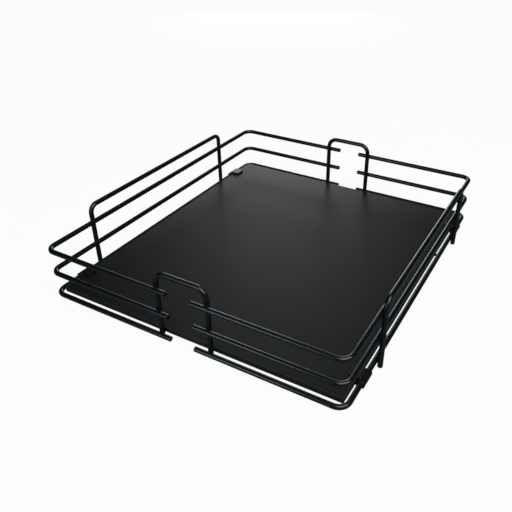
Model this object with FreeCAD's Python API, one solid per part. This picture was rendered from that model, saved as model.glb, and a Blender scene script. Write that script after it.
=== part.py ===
import FreeCAD, Part
import math
import os

# A pull-out pantry basket: welded wire sides around a loose base board, which four turning clips hold down.
# Sizes are in millimetres. +X is the right-hand side, -Y the front and +Z up.
# The origin is under the middle of the basket, level with the ends of the side hoops' legs.

# Wire, with its coat
wire_d = 7.0
cross_wire_d = 4.0
weld_sink = 0.4
wire_end_round = 0.6

# Rails: each of the three levels is a left and a right half with a gap between their ends, front and back
rail_span_x = 442.0
rail_span_y = 504.0
rail_pitch = 35.3
rail_corner_r = 14.0
rail_end_past_leg = 19.5

# Hoops at the middle of the front and back, inside the rails
end_hoop_span = 76.0
end_hoop_rise = 22.0
end_hoop_bend_r = 15.0

# Hoops on the left and right, outside the rails, whose legs the basket stands on
side_hoop_rise = 21.6
side_hoop_bend_r = 12.0
side_leg_from_clip = 19.3
foot_drop = 4.0

# Cross wires under the board
cross_wire_spacing = 222.0
cross_wire_overhang = 0.6

# Base board
board_t = 8.0
board_side_clear = 2.7
board_end_clear = 0.5
edge_band_t = 1.0
edge_band_round = 0.5

# Clips that turn on the bottom side rails
clip_length = 25.0
clip_from_bend = 29.0
clip_bore_clear = 0.05
clip_wall = 1.95
clip_board_clear = 0.4
clip_crown_drop = 1.1
clip_inner_bore_deg = 215.0
clip_inner_tip_deg = 232.0
clip_outer_bore_deg = -60.0
clip_outer_tip_deg = -54.0
clip_lip_t = 2.2
clip_lip_clear = 0.5
clip_lip_overlap = 10.4
clip_lip_end_step = 3.0
clip_heel_u = 0.3
clip_heel_r = 2.0
clip_root_r = 1.0
clip_root_depth = 0.6
clip_tip_corner_r = 2.0
clip_edge_round = 0.4

# Levels and places that follow from the sizes above
wire_r = wire_d / 2
cross_wire_r = cross_wire_d / 2
half_x = rail_span_x / 2
half_y = rail_span_y / 2
bottom_rail_z = foot_drop + wire_r
middle_rail_z = bottom_rail_z + rail_pitch
top_rail_z = middle_rail_z + rail_pitch
weld_pitch = wire_d - weld_sink
end_hoop_y = half_y - weld_pitch
end_hoop_top_z = top_rail_z + end_hoop_rise
side_hoop_x = half_x + weld_pitch
side_hoop_top_z = top_rail_z + side_hoop_rise
cross_wire_z = bottom_rail_z - wire_r - cross_wire_r + weld_sink
board_bottom_z = cross_wire_z + cross_wire_r
board_top_z = board_bottom_z + board_t
board_half_x = half_x - wire_r - board_side_clear
board_half_y = end_hoop_y - wire_r - board_end_clear
rail_end_x = end_hoop_span / 2 - rail_end_past_leg
clip_outer_y = half_y - rail_corner_r - clip_from_bend
clip_inner_y = clip_outer_y - clip_length
side_leg_y = clip_inner_y - side_leg_from_clip - wire_r
clip_bore_r = wire_r + clip_bore_clear
clip_barrel_r = clip_bore_r + clip_wall
clip_inner_r = wire_r + board_side_clear - clip_board_clear

X_AXIS = FreeCAD.Vector(1, 0, 0)
Y_AXIS = FreeCAD.Vector(0, 1, 0)
Z_AXIS = FreeCAD.Vector(0, 0, 1)
LEFT, RIGHT = -1, 1
FRONT, REAR = -1, 1


def point(x, y, z):
    """A place in the basket's frame."""
    return FreeCAD.Vector(x, y, z)


def unit(vector):
    """The vector's direction, one long."""
    return FreeCAD.Vector(vector).normalize()


def disc(centre, normal, radius):
    """A flat round face, the wire's section."""
    return Part.Face(Part.Wire(Part.Circle(centre, normal, radius).toShape()))


def bent_wire(corners, radius, bend_r):
    """Round wire along the straight runs between corners, bent to one radius at each."""
    solids = []
    start = corners[0]
    for here, after in zip(corners[1:-1], corners[2:]):
        into = unit(here - start)
        out = unit(after - here)
        turn = into.getAngle(out)
        setback = bend_r * math.tan(turn / 2)
        run_end = here - into * setback
        solids.append(disc(start, into, radius).extrude(run_end - start))
        bend_axis = unit(into.cross(out))
        bend_centre = run_end + bend_axis.cross(into) * bend_r
        section = disc(run_end, into, radius)
        solids.append(section.revolve(bend_centre, bend_axis, math.degrees(turn)))
        start = here + out * setback
    last_way = unit(corners[-1] - start)
    solids.append(disc(start, last_way, radius).extrude(corners[-1] - start))
    wire = solids[0]
    if len(solids) > 1:
        wire = solids[0].multiFuse(solids[1:]).removeSplitter()
    return round_wire_ends(wire, (corners[0], corners[-1]), radius)


def round_wire_ends(wire, ends, radius):
    """Take the sharp edge off both cut ends."""
    rims = []
    for edge in wire.Edges:
        is_rim = isinstance(edge.Curve, Part.Circle) and abs(edge.Curve.Radius - radius) < 1e-6
        if is_rim and min(edge.Curve.Center.distanceToPoint(end) for end in ends) < 1e-6:
            rims.append(edge)
    return wire.makeFillet(wire_end_round, rims)


def half_rail(side, level):
    """One half of a rail: from the gap at the front, round the side, to the gap at the back."""
    gap_x = side * rail_end_x
    side_x = side * half_x
    corners = [
        point(gap_x, -half_y, level),
        point(side_x, -half_y, level),
        point(side_x, half_y, level),
        point(gap_x, half_y, level),
    ]
    return bent_wire(corners, wire_r, rail_corner_r)


def end_hoop(end):
    """The inverted U inside the rails, on both sides of the gap at the front or the back."""
    leg_x = end_hoop_span / 2
    y = end * end_hoop_y
    leg_end_z = bottom_rail_z - wire_r
    corners = [
        point(-leg_x, y, leg_end_z),
        point(-leg_x, y, end_hoop_top_z),
        point(leg_x, y, end_hoop_top_z),
        point(leg_x, y, leg_end_z),
    ]
    return bent_wire(corners, wire_r, end_hoop_bend_r)


def side_hoop(side):
    """The wide inverted U outside the rails, with legs down to the floor."""
    x = side * side_hoop_x
    corners = [
        point(x, -side_leg_y, 0),
        point(x, -side_leg_y, side_hoop_top_z),
        point(x, side_leg_y, side_hoop_top_z),
        point(x, side_leg_y, 0),
    ]
    return bent_wire(corners, wire_r, side_hoop_bend_r)


def cross_wire(end):
    """A thin wire under both bottom rails, which carries the board."""
    reach = half_x + cross_wire_overhang
    y = end * cross_wire_spacing / 2
    return bent_wire([point(-reach, y, cross_wire_z), point(reach, y, cross_wire_z)], cross_wire_r, 0)


def block(low, high):
    """A box between two opposite corners."""
    size = high - low
    return Part.makeBox(size.x, size.y, size.z, low)


def base_board_core():
    """The board without its edge bands."""
    half_core_x = board_half_x - edge_band_t
    half_core_y = board_half_y - edge_band_t
    low = point(-half_core_x, -half_core_y, board_bottom_z)
    return block(low, point(half_core_x, half_core_y, board_top_z))


def face_towards(shape, way):
    """The face that lies farthest in a direction."""
    return max(shape.Faces, key=lambda face: face.CenterOfMass.dot(way))


def is_upright(edge):
    """Whether an edge goes straight up or down where it starts."""
    return abs(edge.tangentAt(edge.FirstParameter).z) > 1 - 1e-6


def rim(faces):
    """The edges around a group of faces, without those between two of them."""
    edges = [edge for face in faces for edge in face.Edges]
    return [edge for edge in edges if sum(edge.isSame(other) for other in edges) == 1]


def end_edge_band(end):
    """The band along the front or back edge, as long as the finished board is wide."""
    outer_y = end * board_half_y
    inner_y = end * (board_half_y - edge_band_t)
    low = point(-board_half_x, min(outer_y, inner_y), board_bottom_z)
    band = block(low, point(board_half_x, max(outer_y, inner_y), board_top_z))
    outer = face_towards(band, Y_AXIS * end)
    return band.makeFillet(edge_band_round, outer.Edges)


def side_edge_band(side):
    """The band along the left or right edge, between the front and back bands."""
    outer_x = side * board_half_x
    inner_x = side * (board_half_x - edge_band_t)
    half_length = board_half_y - edge_band_t
    low = point(min(outer_x, inner_x), -half_length, board_bottom_z)
    band = block(low, point(max(outer_x, inner_x), half_length, board_top_z))
    outer = face_towards(band, X_AXIS * side)
    return band.makeFillet(edge_band_round, [edge for edge in outer.Edges if not is_upright(edge)])


def on_circle(radius, degrees):
    """A point of a circle around the wire's centre, in the clip's section."""
    angle = math.radians(degrees)
    return (radius * math.cos(angle), radius * math.sin(angle))


def barrel_section():
    """The part around the wire: its centre is at (0, 0), the board on the -u side and +v up."""
    crown_v = clip_barrel_r - clip_crown_drop
    inner_top_deg = 180 - math.degrees(math.asin(crown_v / clip_inner_r))
    outer_top_deg = 180 - math.degrees(math.asin(crown_v / clip_barrel_r))
    inner_top = on_circle(clip_inner_r, inner_top_deg)
    inner_middle = on_circle(clip_inner_r, (inner_top_deg + clip_inner_tip_deg) / 2)
    inner_tip = on_circle(clip_inner_r, clip_inner_tip_deg)
    bore_inner = on_circle(clip_bore_r, clip_inner_bore_deg)
    bore_outer = on_circle(clip_bore_r, clip_outer_bore_deg)
    outer_tip = on_circle(clip_barrel_r, clip_outer_tip_deg)
    outer_middle = on_circle(clip_barrel_r, (outer_top_deg + clip_outer_tip_deg) / 2)
    outer_top = on_circle(clip_barrel_r, outer_top_deg)
    return [
        ("line", outer_top, inner_top),
        ("arc", inner_top, inner_middle, inner_tip),
        ("line", inner_tip, bore_inner),
        ("arc", bore_inner, (0, clip_bore_r), bore_outer),
        ("line", bore_outer, outer_tip),
        ("arc", outer_tip, outer_middle, outer_top),
    ]


def lip_section():
    """The lip over the board, down to its root inside the barrel."""
    lip_under = board_top_z + clip_lip_clear - bottom_rail_z
    lip_top = lip_under + clip_lip_t
    lip_reach = wire_r + board_side_clear + clip_lip_overlap
    crown_v = clip_barrel_r - clip_crown_drop
    neck_u = -math.sqrt(clip_inner_r**2 - crown_v**2)
    root_v = crown_v - clip_root_depth
    root_turn_v = lip_under - clip_root_r
    root_turn_u = neck_u - clip_root_r
    heel_u = clip_heel_u - clip_heel_r
    heel_v = lip_top - clip_heel_r
    diagonal = math.sqrt(0.5)
    root_middle = (root_turn_u + clip_root_r * diagonal, root_turn_v + clip_root_r * diagonal)
    heel_middle = (heel_u + clip_heel_r * diagonal, heel_v + clip_heel_r * diagonal)
    return [
        ("line", (-lip_reach, lip_under), (root_turn_u, lip_under)),
        ("arc", (root_turn_u, lip_under), root_middle, (neck_u, root_turn_v)),
        ("line", (neck_u, root_turn_v), (neck_u + clip_root_depth, root_v)),
        ("line", (neck_u + clip_root_depth, root_v), (clip_heel_u, root_v)),
        ("line", (clip_heel_u, root_v), (clip_heel_u, heel_v)),
        ("arc", (clip_heel_u, heel_v), heel_middle, (heel_u, lip_top)),
        ("line", (heel_u, lip_top), (-lip_reach, lip_top)),
        ("line", (-lip_reach, lip_top), (-lip_reach, lip_under)),
    ]


def along_rail(section, side, middle_y, length):
    """A section of the clip drawn out along a bottom side rail, around middle_y."""
    start_y = middle_y - length / 2

    def place(uv):
        return point(side * (half_x + uv[0]), start_y, bottom_rail_z + uv[1])

    edges = []
    for kind, *points in section:
        places = [place(uv) for uv in points]
        if kind == "arc":
            edges.append(Part.Arc(*places).toShape())
        else:
            edges.append(Part.LineSegment(*places).toShape())
    outline = Part.Wire(Part.__sortEdges__(edges))
    return Part.Face(outline).extrude(Y_AXIS * length)


def clip(side, end):
    """A clip on a bottom side rail, with its lip over the edge of the board."""
    middle_y = end * (clip_inner_y + clip_outer_y) / 2
    outward = X_AXIS * side
    barrel = along_rail(barrel_section(), side, middle_y, clip_length)
    end_faces = [face_towards(barrel, Y_AXIS), face_towards(barrel, -Y_AXIS)]
    outer_edges = [edge for edge in rim(end_faces) if is_outside_bore(edge)]
    barrel = barrel.makeFillet(clip_edge_round, outer_edges)
    lip = along_rail(lip_section(), side, middle_y, clip_length - 2 * clip_lip_end_step)
    tip = face_towards(lip, -outward)
    lip = lip.makeFillet(clip_tip_corner_r, [edge for edge in tip.Edges if is_upright(edge)])
    top_faces = [face_towards(lip, Z_AXIS), face_towards(lip, Z_AXIS + outward)]
    lip = lip.makeFillet(clip_edge_round, rim(top_faces))
    return barrel.fuse(lip).removeSplitter()


def is_outside_bore(edge):
    """Whether an edge of a clip's end face belongs to its outer side."""
    middle = edge.valueAt((edge.FirstParameter + edge.LastParameter) / 2)
    away = math.hypot(abs(middle.x) - half_x, middle.z - bottom_rail_z)
    return away > (clip_bore_r + clip_barrel_r) / 2


def build():
    """Every piece of the basket, by name."""
    pieces = {}
    for side, side_name in ((LEFT, "left"), (RIGHT, "right")):
        for level, level_name in ((bottom_rail_z, "bottom"), (middle_rail_z, "middle"), (top_rail_z, "top")):
            pieces[f"{level_name}_rail_{side_name}"] = half_rail(side, level)
        pieces[f"{side_name}_side_hoop"] = side_hoop(side)
        pieces[f"edge_band_{side_name}"] = side_edge_band(side)
        for end, end_name in ((FRONT, "front"), (REAR, "rear")):
            pieces[f"clip_{end_name}_{side_name}"] = clip(side, end)
    for end, end_name in ((FRONT, "front"), (REAR, "rear")):
        pieces[f"{end_name}_hoop"] = end_hoop(end)
        pieces[f"cross_wire_{end_name}"] = cross_wire(end)
        pieces[f"edge_band_{end_name}"] = end_edge_band(end)
    pieces["base_board_core"] = base_board_core()
    return pieces


os.makedirs("parts", exist_ok=True)
for name, shape in build().items():
    shape.exportStep(f"parts/{name}.step")
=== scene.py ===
"""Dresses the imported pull-out pantry basket: weld beads, finishes, studio and camera."""

import logging
import math
from dataclasses import dataclass, field
from enum import Enum

import bpy
from bpy.types import Material, Node, NodeSocket, NodeTree, Object
from mathutils import Matrix, Vector


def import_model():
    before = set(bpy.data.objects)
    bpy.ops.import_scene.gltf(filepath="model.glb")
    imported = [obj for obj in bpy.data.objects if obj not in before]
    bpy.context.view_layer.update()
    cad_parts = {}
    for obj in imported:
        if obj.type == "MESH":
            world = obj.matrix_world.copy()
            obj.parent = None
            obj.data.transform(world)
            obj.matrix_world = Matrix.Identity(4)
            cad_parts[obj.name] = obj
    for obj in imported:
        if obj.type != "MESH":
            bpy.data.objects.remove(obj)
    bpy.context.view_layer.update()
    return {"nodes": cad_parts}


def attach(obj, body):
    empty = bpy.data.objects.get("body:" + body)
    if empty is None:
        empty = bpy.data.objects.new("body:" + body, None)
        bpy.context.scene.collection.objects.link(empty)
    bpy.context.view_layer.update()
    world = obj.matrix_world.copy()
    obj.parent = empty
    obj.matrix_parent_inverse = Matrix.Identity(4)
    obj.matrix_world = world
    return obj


MM = 0.001
LOG = logging.getLogger("pantry_basket")

# Most of a noise texture's values lie between these two.
NOISE_LOW, NOISE_HIGH = 0.3, 0.7

# A Mix node has several sockets named A, B and Result, so its colour ones are called by number.
MIX_COLOUR_A, MIX_COLOUR_B, MIX_COLOUR_RESULT = 6, 7, 2


class Side(Enum):
    """Left or right, by the sign of X."""

    LEFT = -1
    RIGHT = 1


class End(Enum):
    """Front or rear, by the sign of Y."""

    FRONT = -1
    REAR = 1


class Level(Enum):
    """The three levels of rail, counted from the lowest."""

    BOTTOM = 0
    MIDDLE = 1
    TOP = 2


class Axis(Enum):
    """The axis that a wire follows through a crossing."""

    X = (1, 0, 0)
    Z = (0, 0, 1)


def linear(hex_colour: str, alpha: float = 1.0) -> tuple[float, float, float, float]:
    """Turn an sRGB hex colour into the linear one that shaders work in.

    Args:
        hex_colour: The colour as "#rrggbb".
        alpha: The fourth channel.

    Returns:
        Red, green, blue and alpha.
    """
    channels = [int(hex_colour[i : i + 2], 16) / 255 for i in (1, 3, 5)]
    red, green, blue = (
        c / 12.92 if c <= 0.04045 else ((c + 0.055) / 1.055) ** 2.4 for c in channels
    )
    return red, green, blue, alpha


def per_metre(size_mm: float) -> float:
    """The Scale of a noise texture whose features are to be that many millimetres."""
    return 1 / (size_mm * MM)


def add_node(
    tree: NodeTree,
    kind: str,
    values: dict | None = None,
    links: dict | None = None,
    **options,
) -> Node:
    """Add one node, with its settings and what feeds it.

    Args:
        tree: The node tree to add to.
        kind: Blender's name of the node type.
        values: Constant input values, by socket name or number.
        links: Output sockets that feed the inputs, by socket name or number.
        **options: The node's own properties.

    Returns:
        The new node.
    """
    node = tree.nodes.new(kind)
    for name, value in options.items():
        setattr(node, name, value)
    for name, value in (values or {}).items():
        node.inputs[name].default_value = value
    for name, socket in (links or {}).items():
        tree.links.new(socket, node.inputs[name])
    return node


def shift(place_mm: tuple[float, float, float]) -> Matrix:
    """The move from the basket's origin to a place in millimetres."""
    return Matrix.Translation(Vector(place_mm) * MM)


def select_only(*objects: Object) -> None:
    """Select these objects alone.

    Args:
        *objects: The objects, of which the last is made active.
    """
    bpy.ops.object.select_all(action="DESELECT")
    for obj in objects:
        obj.select_set(True)
        bpy.context.view_layer.objects.active = obj


def apply_modifiers(obj: Object) -> None:
    """Apply all of an object's modifiers, in order.

    Args:
        obj: The object, whose mesh takes up what they make.
    """
    select_only(obj)
    for modifier in list(obj.modifiers):
        bpy.ops.object.modifier_apply(modifier=modifier.name)


def apply_place(obj: Object) -> None:
    """Move an object's place, turn and scale into its mesh."""
    select_only(obj)
    bpy.ops.object.transform_apply(location=True, rotation=True, scale=True)


@dataclass(frozen=True)
class Finish:
    """A surface finish that makes one procedural material."""

    name: str

    def build(self) -> Material:
        """Make the material with its nodes.

        Returns:
            The new material.
        """
        material = bpy.data.materials.new(self.name)
        material.use_nodes = True
        tree = material.node_tree
        tree.nodes.clear()
        output = add_node(tree, "ShaderNodeOutputMaterial")
        place = add_node(tree, "ShaderNodeTexCoord").outputs["Object"]
        shader = self.surface(tree, place)
        tree.links.new(shader, output.inputs["Surface"])
        return material

    def surface(self, tree: NodeTree, place: NodeSocket) -> NodeSocket:
        """Add the finish's own nodes and return the shader's output."""
        raise NotImplementedError


@dataclass(frozen=True)
class Pattern:
    """A noise pattern whose features have a real size."""

    size_mm: float
    detail: float
    roughness: float

    def values(self) -> dict[str, float]:
        """The inputs of the noise texture that draws it."""
        scale = per_metre(self.size_mm)
        return {"Scale": scale, "Detail": self.detail, "Roughness": self.roughness}


@dataclass(frozen=True)
class TexturedFinish(Finish):
    """A finish whose tone follows one pattern, and whose bumps and gloss follow another."""

    deep: str
    pale: str
    tone: Pattern
    relief: Pattern
    relief_height_mm: float
    roughness: tuple[float, float]
    ior: float

    def surface(self, tree: NodeTree, place: NodeSocket) -> NodeSocket:
        """Add the finish's own nodes.

        Args:
            tree: The material's node tree.
            place: The object's own coordinates.

        Returns:
            The shader's output. The roughness is one value where its two ends are alike.
        """
        tone = add_node(tree, "ShaderNodeTexNoise", self.tone.values(), {"Vector": place})
        relief = add_node(tree, "ShaderNodeTexNoise", self.relief.values(), {"Vector": place})
        colour = add_node(
            tree,
            "ShaderNodeMix",
            {MIX_COLOUR_A: linear(self.deep), MIX_COLOUR_B: linear(self.pale)},
            {"Factor": tone.outputs["Fac"]},
            data_type="RGBA",
        )
        bump = add_node(
            tree,
            "ShaderNodeBump",
            {"Strength": 1.0, "Distance": self.relief_height_mm * MM},
            {"Height": relief.outputs["Fac"]},
        )
        low, high = self.roughness
        shader = add_node(
            tree,
            "ShaderNodeBsdfPrincipled",
            {"IOR": self.ior, "Roughness": low},
            {"Base Color": colour.outputs[MIX_COLOUR_RESULT], "Normal": bump.outputs["Normal"]},
        )
        if high > low:
            gloss = add_node(
                tree,
                "ShaderNodeMapRange",
                {"From Min": NOISE_LOW, "From Max": NOISE_HIGH, "To Min": low, "To Max": high},
                {"Value": relief.outputs["Fac"]},
            )
            tree.links.new(gloss.outputs["Result"], shader.inputs["Roughness"])
        return shader.outputs["BSDF"]


@dataclass(frozen=True)
class SatinPowderCoat(TexturedFinish):
    """The wires' polyester powder coat, sprayed on and baked."""

    # The powder flows out to a satin skin. Its low orange peel breaks up the long highlights, and
    # its blue-black drifts slowly along the wire.
    name: str = "satin_black_powder_coat"
    deep: str = "#060f14"
    pale: str = "#0a161b"
    tone: Pattern = Pattern(size_mm=24.0, detail=3.0, roughness=0.55)
    relief: Pattern = Pattern(size_mm=1.6, detail=2.0, roughness=0.5)
    relief_height_mm: float = 0.012
    roughness: tuple[float, float] = (0.20, 0.28)
    ior: float = 1.5


@dataclass(frozen=True)
class CharcoalMelamine(TexturedFinish):
    """The board's face: melamine-soaked paper, pressed on by a textured plate."""

    # The face is matt charcoal, with a slow drift in tone. The plate leaves a fine pearl texture.
    name: str = "charcoal_melamine"
    deep: str = "#101010"
    pale: str = "#141414"
    tone: Pattern = Pattern(size_mm=60.0, detail=4.0, roughness=0.6)
    relief: Pattern = Pattern(size_mm=0.9, detail=2.0, roughness=0.5)
    relief_height_mm: float = 0.010
    roughness: tuple[float, float] = (0.44, 0.50)
    ior: float = 1.38


@dataclass(frozen=True)
class MattAbsBand(TexturedFinish):
    """The board's ABS edge band, extruded, ironed on and trimmed."""

    # The band is a touch lighter than the board's face. Its extrusion lines are too fine to show,
    # so a coarser and low grain stands in for them.
    name: str = "matt_abs_edge_band"
    deep: str = "#1d1d1d"
    pale: str = "#242423"
    tone: Pattern = Pattern(size_mm=1.2, detail=3.0, roughness=0.6)
    relief: Pattern = Pattern(size_mm=1.2, detail=3.0, roughness=0.6)
    relief_height_mm: float = 0.015
    roughness: tuple[float, float] = (0.45, 0.45)
    ior: float = 1.52


@dataclass(frozen=True)
class MouldedPolyamide(TexturedFinish):
    """The clips' polyamide, injection-moulded in a spark-eroded tool."""

    # The plastic is a warm black, and the tool's grain shows in its tone, gloss and bump.
    name: str = "moulded_black_polyamide"
    deep: str = "#0a0908"
    pale: str = "#110f0e"
    tone: Pattern = Pattern(size_mm=0.7, detail=3.0, roughness=0.6)
    relief: Pattern = Pattern(size_mm=0.7, detail=3.0, roughness=0.6)
    relief_height_mm: float = 0.02
    roughness: tuple[float, float] = (0.28, 0.36)
    ior: float = 1.53


@dataclass(frozen=True)
class BlackDuvetyn(Finish):
    """The drape's napped black cotton."""

    # The nap gives back next to no light, and the cloth is too far off for its weave to show.
    name: str = "black_duvetyn"
    cloth: str = "#0b0b0c"

    def surface(self, tree: NodeTree, place: NodeSocket) -> NodeSocket:
        """Plain dull cloth."""
        cloth = add_node(tree, "ShaderNodeBsdfDiffuse", {"Color": linear(self.cloth)})
        return cloth.outputs["BSDF"]


@dataclass(frozen=True)
class WhiteStudioFloor(Finish):
    """The floor's white studio paper."""

    # The paper is white to the camera, takes the basket's shadow, and shows dim in the dark coat.
    name: str = "white_studio_paper"
    paper: str = "#f4f4f4"
    dim_paper: str = "#606060"
    glow_share: float = 0.95
    mirror_share: float = 0.06

    def surface(self, tree: NodeTree, place: NodeSocket) -> NodeSocket:
        """Plain paper, lifted to white for the camera and a little for reflections.

        Args:
            tree: The material's node tree.
            place: The object's own coordinates, which plain paper has no use for.

        Returns:
            The shader's output.
        """
        path = add_node(tree, "ShaderNodeLightPath")
        seen = add_node(
            tree,
            "ShaderNodeMath",
            links={0: path.outputs["Is Glossy Ray"], 1: path.outputs["Is Transmission Ray"]},
            operation="MAXIMUM",
        )
        mirrored = add_node(
            tree,
            "ShaderNodeMath",
            {1: self.mirror_share},
            {0: seen.outputs["Value"]},
            operation="MULTIPLY",
        )
        share = add_node(
            tree,
            "ShaderNodeMath",
            {1: self.glow_share},
            {0: path.outputs["Is Camera Ray"], 2: mirrored.outputs["Value"]},
            operation="MULTIPLY_ADD",
        )
        tone = add_node(
            tree,
            "ShaderNodeMix",
            {MIX_COLOUR_A: linear(self.dim_paper), MIX_COLOUR_B: linear(self.paper)},
            {"Factor": path.outputs["Is Camera Ray"]},
            data_type="RGBA",
        )
        paper = add_node(
            tree,
            "ShaderNodeBsdfDiffuse",
            links={"Color": tone.outputs[MIX_COLOUR_RESULT]},
        )
        glow = add_node(tree, "ShaderNodeEmission", {"Color": linear("#ffffff"), "Strength": 1.0})
        mixed = add_node(
            tree,
            "ShaderNodeMixShader",
            links={
                0: share.outputs["Value"],
                1: paper.outputs["BSDF"],
                2: glow.outputs["Emission"],
            },
        )
        return mixed.outputs["Shader"]


def dress(nodes: dict[str, Object], names: list[str], material: Material) -> None:
    """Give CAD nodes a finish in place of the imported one.

    Args:
        nodes: The CAD nodes, by name.
        names: Which of them to dress.
        material: The finish to wear.
    """
    for name in names:
        slots = nodes[name].data.materials
        slots.clear()
        slots.append(material)
        LOG.info("dressed %s in %s", name, material.name)


@dataclass
class WireSides:
    """The welded wires: three levels of rail, four hoops and two cross wires, with their welds."""

    wire_d_mm: float = 7.0
    cross_wire_d_mm: float = 4.0
    rail_x_mm: float = 221.0
    rail_y_mm: float = 252.0
    rail_z_mm: tuple[float, float, float] = (7.5, 42.8, 78.1)
    end_hoop_leg_x_mm: float = 38.0
    end_hoop_y_mm: float = 245.4
    side_hoop_leg_y_mm: float = 161.2
    cross_wire_y_mm: float = 111.0
    cross_wire_z_mm: float = 2.4
    cross_wire_past_rail_mm: float = 0.6
    weld_reach_mm: float = 4.8
    weld_sides: int = 48
    weld_voxel_mm: float = 0.28
    weld_smoothing: int = 14
    weld_smooth_share: float = 0.5
    flush_weld_inset_mm: float = 0.3
    coat: SatinPowderCoat = field(default_factory=SatinPowderCoat)

    def nodes(self) -> list[str]:
        """The CAD nodes of the wires.

        Returns:
            Their names.
        """
        rails = [f"{level.name}_rail_{side.name}".lower() for level in Level for side in Side]
        hoops = [f"{side.name}_side_hoop".lower() for side in Side]
        hoops += [f"{end.name}_hoop".lower() for end in End]
        return rails + hoops + [f"cross_wire_{end.name}".lower() for end in End]

    def stub(
        self,
        radius_mm: float,
        low_mm: float,
        high_mm: float,
        place: Vector,
        along: Axis,
    ) -> Object:
        """A short length of wire around a crossing.

        Args:
            radius_mm: The wire's radius.
            low_mm: Where it starts along its axis, from place.
            high_mm: Where it ends along its axis, from place.
            place: A point on its axis, in millimetres.
            along: The axis that it follows.

        Returns:
            The new object.
        """
        centre = (place + Vector(along.value) * (low_mm + high_mm) / 2) * MM
        turn = (0.0, math.pi / 2, 0.0) if along is Axis.X else (0.0, 0.0, 0.0)
        bpy.ops.mesh.primitive_cylinder_add(
            vertices=self.weld_sides,
            radius=radius_mm * MM,
            depth=(high_mm - low_mm) * MM,
            location=centre,
            rotation=turn,
        )
        return bpy.context.object

    def weld(
        self,
        name: str,
        along_x_r_mm: float,
        along_z_r_mm: float,
        pitch_mm: float,
        past_mm: float,
        drop_mm: float,
    ) -> Object:
        """One crossing: a wire along X at the origin and one along Z behind it, melted together.

        Args:
            name: The object's name.
            along_x_r_mm: Radius of the wire along X.
            along_z_r_mm: Radius of the wire along Z.
            pitch_mm: Distance between the wires' axes, along +Y.
            past_mm: How far the wire along X goes past the crossing, to +X.
            drop_mm: How far the wire along Z goes below the crossing.

        Returns:
            The crossing's saddle of coated metal, a hair inside the wires away from the joint.
        """
        bpy.ops.object.select_all(action="DESELECT")
        reach = self.weld_reach_mm
        first = self.stub(along_x_r_mm, -reach, past_mm, Vector((0, 0, 0)), Axis.X)
        second = self.stub(along_z_r_mm, -drop_mm, reach, Vector((0, pitch_mm, 0)), Axis.Z)
        select_only(second, first)
        bpy.ops.object.join()
        saddle = bpy.context.object
        saddle.name = name
        remesh = saddle.modifiers.new("melt", "REMESH")
        remesh.mode = "VOXEL"
        remesh.voxel_size = self.weld_voxel_mm * MM
        smooth = saddle.modifiers.new("blend", "SMOOTH")
        smooth.factor = self.weld_smooth_share
        smooth.iterations = self.weld_smoothing
        apply_place(saddle)
        apply_modifiers(saddle)
        bpy.ops.object.shade_smooth()
        return saddle

    def place_weld(
        self,
        model: Object,
        name: str,
        where: Matrix,
        material: Material,
    ) -> None:
        """Copy a crossing to its place on the wires.

        Args:
            model: The crossing to copy.
            name: The new piece's name.
            where: The transform from the crossing's own frame to the basket's.
            material: Its finish.
        """
        piece = model.copy()
        piece.data = model.data.copy()
        piece.name = name
        bpy.context.collection.objects.link(piece)
        piece.matrix_world = where
        apply_place(piece)
        if where.determinant() < 0:
            select_only(piece)
            bpy.ops.object.mode_set(mode="EDIT")
            bpy.ops.mesh.select_all(action="SELECT")
            bpy.ops.mesh.normals_make_consistent(inside=False)
            bpy.ops.object.mode_set(mode="OBJECT")
        piece.data.materials.clear()
        piece.data.materials.append(material)
        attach(piece, "basket")
        LOG.info("welded %s", name)

    def add_welds(self, material: Material) -> None:
        """Put a saddle of coated metal at each crossing.

        Args:
            material: The wires' coat.
        """
        wire_r = self.wire_d_mm / 2
        cross_r = self.cross_wire_d_mm / 2
        reach = self.weld_reach_mm
        pitch = self.rail_y_mm - self.end_hoop_y_mm
        cross_pitch = self.rail_z_mm[0] - self.cross_wire_z_mm
        flush_drop = wire_r - self.flush_weld_inset_mm
        through = self.weld("weld_through", wire_r, wire_r, pitch, reach, reach)
        flush = self.weld("weld_flush", wire_r, wire_r, pitch, reach, flush_drop)
        past_rail = self.cross_wire_past_rail_mm
        thin = self.weld("weld_thin", cross_r, wire_r, cross_pitch, past_rail, reach)
        for end in End:
            end_hoop_facing = Matrix.Scale(-end.value, 4, (0, 1, 0))
            for side in Side:
                side_hoop_facing = Matrix.Rotation(-side.value * math.pi / 2, 4, "Z")
                for level, z in zip(Level, self.rail_z_mm):
                    place = (side.value * self.end_hoop_leg_x_mm, end.value * self.rail_y_mm, z)
                    model = flush if level is Level.BOTTOM else through
                    name = f"weld_{end.name}_hoop_{side.name}_{level.name}".lower()
                    self.place_weld(model, name, shift(place) @ end_hoop_facing, material)
                    place = (side.value * self.rail_x_mm, end.value * self.side_hoop_leg_y_mm, z)
                    name = f"weld_{side.name}_hoop_{end.name}_{level.name}".lower()
                    self.place_weld(through, name, shift(place) @ side_hoop_facing, material)
                place = (
                    side.value * self.rail_x_mm,
                    end.value * self.cross_wire_y_mm,
                    self.cross_wire_z_mm,
                )
                outward = Matrix.Scale(side.value, 4, (1, 0, 0))
                upward = Matrix.Rotation(math.pi / 2, 4, "X")
                name = f"weld_cross_wire_{end.name}_{side.name}".lower()
                self.place_weld(thin, name, shift(place) @ outward @ upward, material)
        for model in (through, flush, thin):
            bpy.data.objects.remove(model)

    def build(self, nodes: dict[str, Object]) -> None:
        """Dress the wires and weld them.

        Args:
            nodes: The CAD nodes, by name.
        """
        coat = self.coat.build()
        dress(nodes, self.nodes(), coat)
        self.add_welds(coat)


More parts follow.
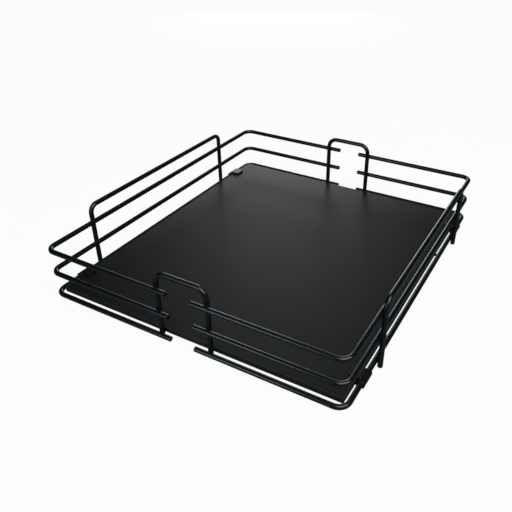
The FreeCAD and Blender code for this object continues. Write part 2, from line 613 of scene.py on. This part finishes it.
@dataclass
class BaseBoard:
    """The loose board: a melamine-faced core with four edge bands."""

    face: CharcoalMelamine = field(default_factory=CharcoalMelamine)
    band: MattAbsBand = field(default_factory=MattAbsBand)

    def build(self, nodes: dict[str, Object]) -> None:
        """Dress the core and the bands.

        Args:
            nodes: The CAD nodes, by name.
        """
        dress(nodes, ["base_board_core"], self.face.build())
        bands = [f"edge_band_{place.name}".lower() for place in (*End, *Side)]
        dress(nodes, bands, self.band.build())


@dataclass
class HoldDownClips:
    """Four moulded clips that turn on the bottom side rails."""

    plastic: MouldedPolyamide = field(default_factory=MouldedPolyamide)

    def build(self, nodes: dict[str, Object]) -> None:
        """Dress the clips.

        Args:
            nodes: The CAD nodes, by name.
        """
        names = [f"clip_{end.name}_{side.name}".lower() for end in End for side in Side]
        dress(nodes, names, self.plastic.build())


@dataclass(frozen=True)
class SoftBox:
    """A rectangular studio lamp aimed at a point."""

    name: str
    place_m: tuple[float, float, float]
    aim_m: tuple[float, float, float]
    size_m: tuple[float, float]
    watts: float
    colour: str = "#ffffff"

    def build(self) -> None:
        """Make the lamp."""
        data = bpy.data.lights.new(self.name, "AREA")
        data.shape = "RECTANGLE"
        data.size, data.size_y = self.size_m
        data.energy = self.watts
        data.color = linear(self.colour)[:3]
        lamp = bpy.data.objects.new(self.name, data)
        bpy.context.collection.objects.link(lamp)
        lamp.location = self.place_m
        away = Vector(self.place_m) - Vector(self.aim_m)
        lamp.rotation_euler = away.to_track_quat("Z", "Y").to_euler()


@dataclass(frozen=True)
class BlackDrape:
    """Black cloth round the set, hidden from the camera, with a gap for the white horizon."""

    radius_m: float = 2.2
    height_m: float = 2.6
    panels: int = 180
    gap_deg: tuple[float, float] = (98.0, 139.0)
    cloth: BlackDuvetyn = BlackDuvetyn()

    def build(self) -> None:
        """Hang the cloth and cut the gap, whose bearings run anticlockwise from +X."""
        bpy.ops.object.select_all(action="DESELECT")
        bpy.ops.mesh.primitive_cylinder_add(
            vertices=self.panels,
            radius=self.radius_m,
            depth=self.height_m,
            end_fill_type="NOTHING",
            location=(0, 0, self.height_m / 2),
        )
        drape = bpy.context.object
        drape.name = "black_drape"
        first, last = self.gap_deg
        bpy.ops.object.mode_set(mode="EDIT")
        bpy.ops.mesh.select_all(action="DESELECT")
        bpy.ops.object.mode_set(mode="OBJECT")
        for face in drape.data.polygons:
            bearing = math.degrees(math.atan2(face.center.y, face.center.x)) % 360
            face.select = first < bearing < last
        bpy.ops.object.mode_set(mode="EDIT")
        bpy.ops.mesh.select_mode(type="FACE")
        bpy.ops.mesh.delete(type="FACE")
        bpy.ops.object.mode_set(mode="OBJECT")
        drape.data.materials.append(self.cloth.build())
        drape.visible_camera = False


@dataclass
class Studio:
    """Floor, soft light, pale surroundings and the camera at the photograph's angle."""

    floor_size_m: float = 30.0
    room: tuple[tuple[float, str], ...] = (
        (0.25, "#fcfcfc"),
        (0.45, "#bbbbbc"),
        (0.60, "#969698"),
        (0.71, "#6e6f72"),
        (0.80, "#545659"),
    )
    camera_place_mm: tuple[float, float, float] = (380.0, -672.3, 501.6)
    camera_yaw_deg: float = 28.70
    camera_pitch_deg: float = 31.40
    camera_roll_deg: float = 0.34
    focal_px: float = 581.76
    middle_px: tuple[float, float] = (288.66, 237.0)
    frame_px: float = 512.0
    sensor_mm: float = 36.0
    clip_range_m: tuple[float, float] = (0.05, 100.0)
    paper: WhiteStudioFloor = WhiteStudioFloor()
    drape: BlackDrape = BlackDrape()
    lamps: tuple[SoftBox, ...] = (
        SoftBox(
            name="overhead_softbox",
            place_m=(1.05, -0.6, 1.6),
            aim_m=(0.0, 0.0, 0.05),
            size_m=(2.0, 1.7),
            watts=36.0,
        ),
        SoftBox(
            name="front_left_softbox",
            place_m=(-0.55, -1.50, 0.42),
            aim_m=(0.0, 0.0, 0.08),
            size_m=(0.47, 0.84),
            watts=4.6,
            colour="#dcf2ff",
        ),
        SoftBox(
            name="rear_softbox",
            place_m=(-1.00, 1.73, 0.35),
            aim_m=(0.0, 0.0, 0.08),
            size_m=(0.75, 0.62),
            watts=4.5,
        ),
    )

    def build_floor(self) -> None:
        """A broad sheet of white paper under the basket."""
        bpy.ops.object.select_all(action="DESELECT")
        bpy.ops.mesh.primitive_plane_add(size=self.floor_size_m, location=(0, 0, 0))
        floor = bpy.context.object
        floor.name = "studio_floor"
        floor.data.materials.append(self.paper.build())

    def build_world(self) -> None:
        """A white horizon that falls off to a grey ceiling."""
        world = bpy.data.worlds.new("studio_room")
        bpy.context.scene.world = world
        world.use_nodes = True
        tree = world.node_tree
        tree.nodes.clear()
        output = add_node(tree, "ShaderNodeOutputWorld")
        way = add_node(tree, "ShaderNodeTexCoord")
        height = add_node(tree, "ShaderNodeSeparateXYZ", links={0: way.outputs["Generated"]})
        fall = add_node(tree, "ShaderNodeValToRGB", links={0: height.outputs["Z"]})
        stops = fall.color_ramp.elements
        while len(stops) < len(self.room):
            stops.new(1.0)
        for stop, (position, colour) in zip(stops, self.room):
            stop.position = position
            stop.color = linear(colour)
        background = add_node(
            tree,
            "ShaderNodeBackground",
            {"Strength": 1.0},
            {"Color": fall.outputs["Color"]},
        )
        tree.links.new(background.outputs["Background"], output.inputs["Surface"])

    def build_camera(self) -> None:
        """The camera where the photograph's was."""
        data = bpy.data.cameras.new("photo_camera")
        data.sensor_width = self.sensor_mm
        data.lens = self.focal_px / self.frame_px * self.sensor_mm
        data.shift_x = 0.5 - self.middle_px[0] / self.frame_px
        data.shift_y = self.middle_px[1] / self.frame_px - 0.5
        data.clip_start, data.clip_end = self.clip_range_m
        camera = bpy.data.objects.new("photo_camera", data)
        bpy.context.collection.objects.link(camera)
        camera.matrix_world = (
            shift(self.camera_place_mm)
            @ Matrix.Rotation(math.radians(self.camera_yaw_deg), 4, "Z")
            @ Matrix.Rotation(math.radians(90 - self.camera_pitch_deg), 4, "X")
            @ Matrix.Rotation(math.radians(self.camera_roll_deg), 4, "Z")
        )
        bpy.context.scene.camera = camera

    def build(self) -> None:
        """Make everything that isn't part of the basket."""
        bpy.context.scene.view_settings.view_transform = "Standard"
        self.build_camera()
        self.build_floor()
        self.build_world()
        self.drape.build()
        for lamp in self.lamps:
            lamp.build()


def main() -> None:
    """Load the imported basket, dress it and set up the studio."""
    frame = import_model()
    nodes = frame["nodes"]
    Studio().build()
    WireSides().build(nodes)
    BaseBoard().build(nodes)
    HoldDownClips().build(nodes)


if __name__ == "__main__":
    logging.basicConfig(level=logging.INFO)
    main()
